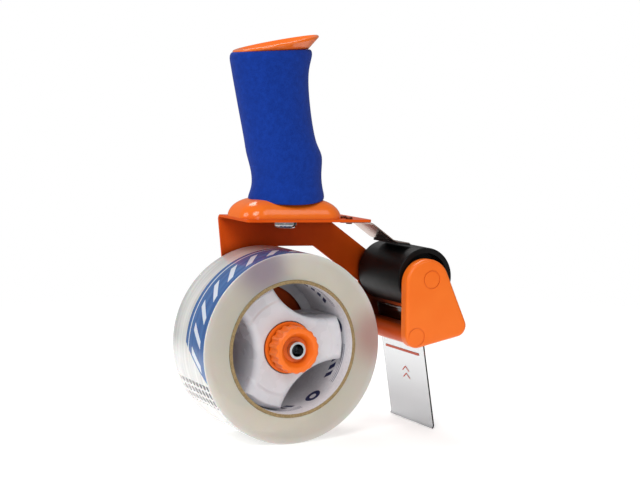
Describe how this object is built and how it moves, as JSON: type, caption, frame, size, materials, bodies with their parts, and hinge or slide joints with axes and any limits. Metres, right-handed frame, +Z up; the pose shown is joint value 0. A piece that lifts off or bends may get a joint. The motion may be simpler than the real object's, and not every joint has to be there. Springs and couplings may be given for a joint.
{
  "type": "tape dispenser",
  "caption": "Pistol-grip carton tape gun: steel side frame, foam-covered handle, tape reel with a tension knob, rubbing roller, leaf, guarded blade and a clear wiper.",
  "frame": {"origin": "middle of the part's box at the level it stands on", "axes": "+Z up, +X forward from the roll to the roller, +Y along the reel axis from the knob to the side frame"},
  "size_m": [0.1664, 0.0684, 0.2363],
  "materials": {
    "orange_paint": "gloss",
    "black_paint": "gloss",
    "bronzed_steel": "satin",
    "orange_plastic": "satin",
    "blue_foam": "matte",
    "black_roller": "satin",
    "black_pad": "matte",
    "white_plastic": "gloss",
    "spring_steel": "polished",
    "zinc_steel": "satin",
    "friction_felt": "matte",
    "clear_sheet": "gloss",
    "clear_tape": "gloss",
    "paper_core": "matte"
  },
  "bodies": {
    "frame": {"side_frame": "orange_paint", "handle": "orange_plastic", "foam_grip": "blue_foam", "handle_bolt": "zinc_steel", "handle_nut": "zinc_steel", "leaf_root": "spring_steel", "leaf_rivets": "bronzed_steel", "outer_guard": "orange_plastic", "roller_axle": "zinc_steel", "axle_spacers": "zinc_steel", "axle_nut": "zinc_steel", "tie_rod": "zinc_steel", "tie_rod_nut": "zinc_steel", "clamp_bar": "orange_plastic", "clamp_screws": "zinc_steel", "wiper_root": "clear_sheet", "blade_carrier": "black_paint", "cutter_blade": "spring_steel", "blade_rivets": "zinc_steel", "hub_spindle": "zinc_steel", "spindle_nut": "zinc_steel", "friction_washer": "friction_felt", "spring_washer": "zinc_steel", "tension_spring": "spring_steel"},
    "roller": {"roller": "black_roller", "roller_bushes": "black_roller"},
    "reel": {"hub": "white_plastic"},
    "tape_roll": {"tape_core": "paper_core", "tape": "clear_tape"},
    "tension": {"spring_cup": "orange_plastic"},
    "knob": {"tension_knob": "orange_plastic"},
    "leaf": {"tape_leaf": "spring_steel", "leaf_pad": "black_pad"},
    "wiper": {"wiper": "clear_sheet"}
  },
  "joints": [
    {"name": "reel_spin", "type": "hinge", "parent": "frame", "child": "reel", "pos_m": [-0.02749, -0.00025, 0.0557], "axis": [0, 1, 0], "continuous": true},
    {"name": "tape_slide", "type": "slide", "parent": "reel", "child": "tape_roll", "axis": [0, -1, 0], "range_m": [0, 0.055]},
    {"name": "roller_spin", "type": "hinge", "parent": "frame", "child": "roller", "pos_m": [0.05865, -0.00025, 0.09217], "axis": [0, 1, 0], "continuous": true},
    {"name": "tension_slide", "type": "slide", "parent": "frame", "child": "tension", "axis": [0, 1, 0], "range_m": [-0.0015, 0.0015], "deforming": ["tension_spring"]},
    {"name": "knob_turn", "type": "hinge", "parent": "tension", "child": "knob", "pos_m": [-0.02749, -0.01895, 0.0557], "axis": [0, 1, 0], "range_deg": [-360, 360]},
    {"name": "leaf_lift", "type": "hinge", "parent": "frame", "child": "leaf", "pos_m": [0.02862, 0.00075, 0.12576], "axis": [0, -1, 0], "range_deg": [0, 12], "stiffness_Nm_per_rad": 0.15},
    {"name": "wiper_flex", "type": "hinge", "parent": "frame", "child": "wiper", "pos_m": [0.05785, -0.00025, 0.05262], "axis": [0, 1, 0], "range_deg": [-20, 20], "stiffness_Nm_per_rad": 0.4}
  ],
  "couplings": [
    {"joint": "knob_turn", "follows": "tension_slide", "rad_per_m": 4188.8}
  ]
}
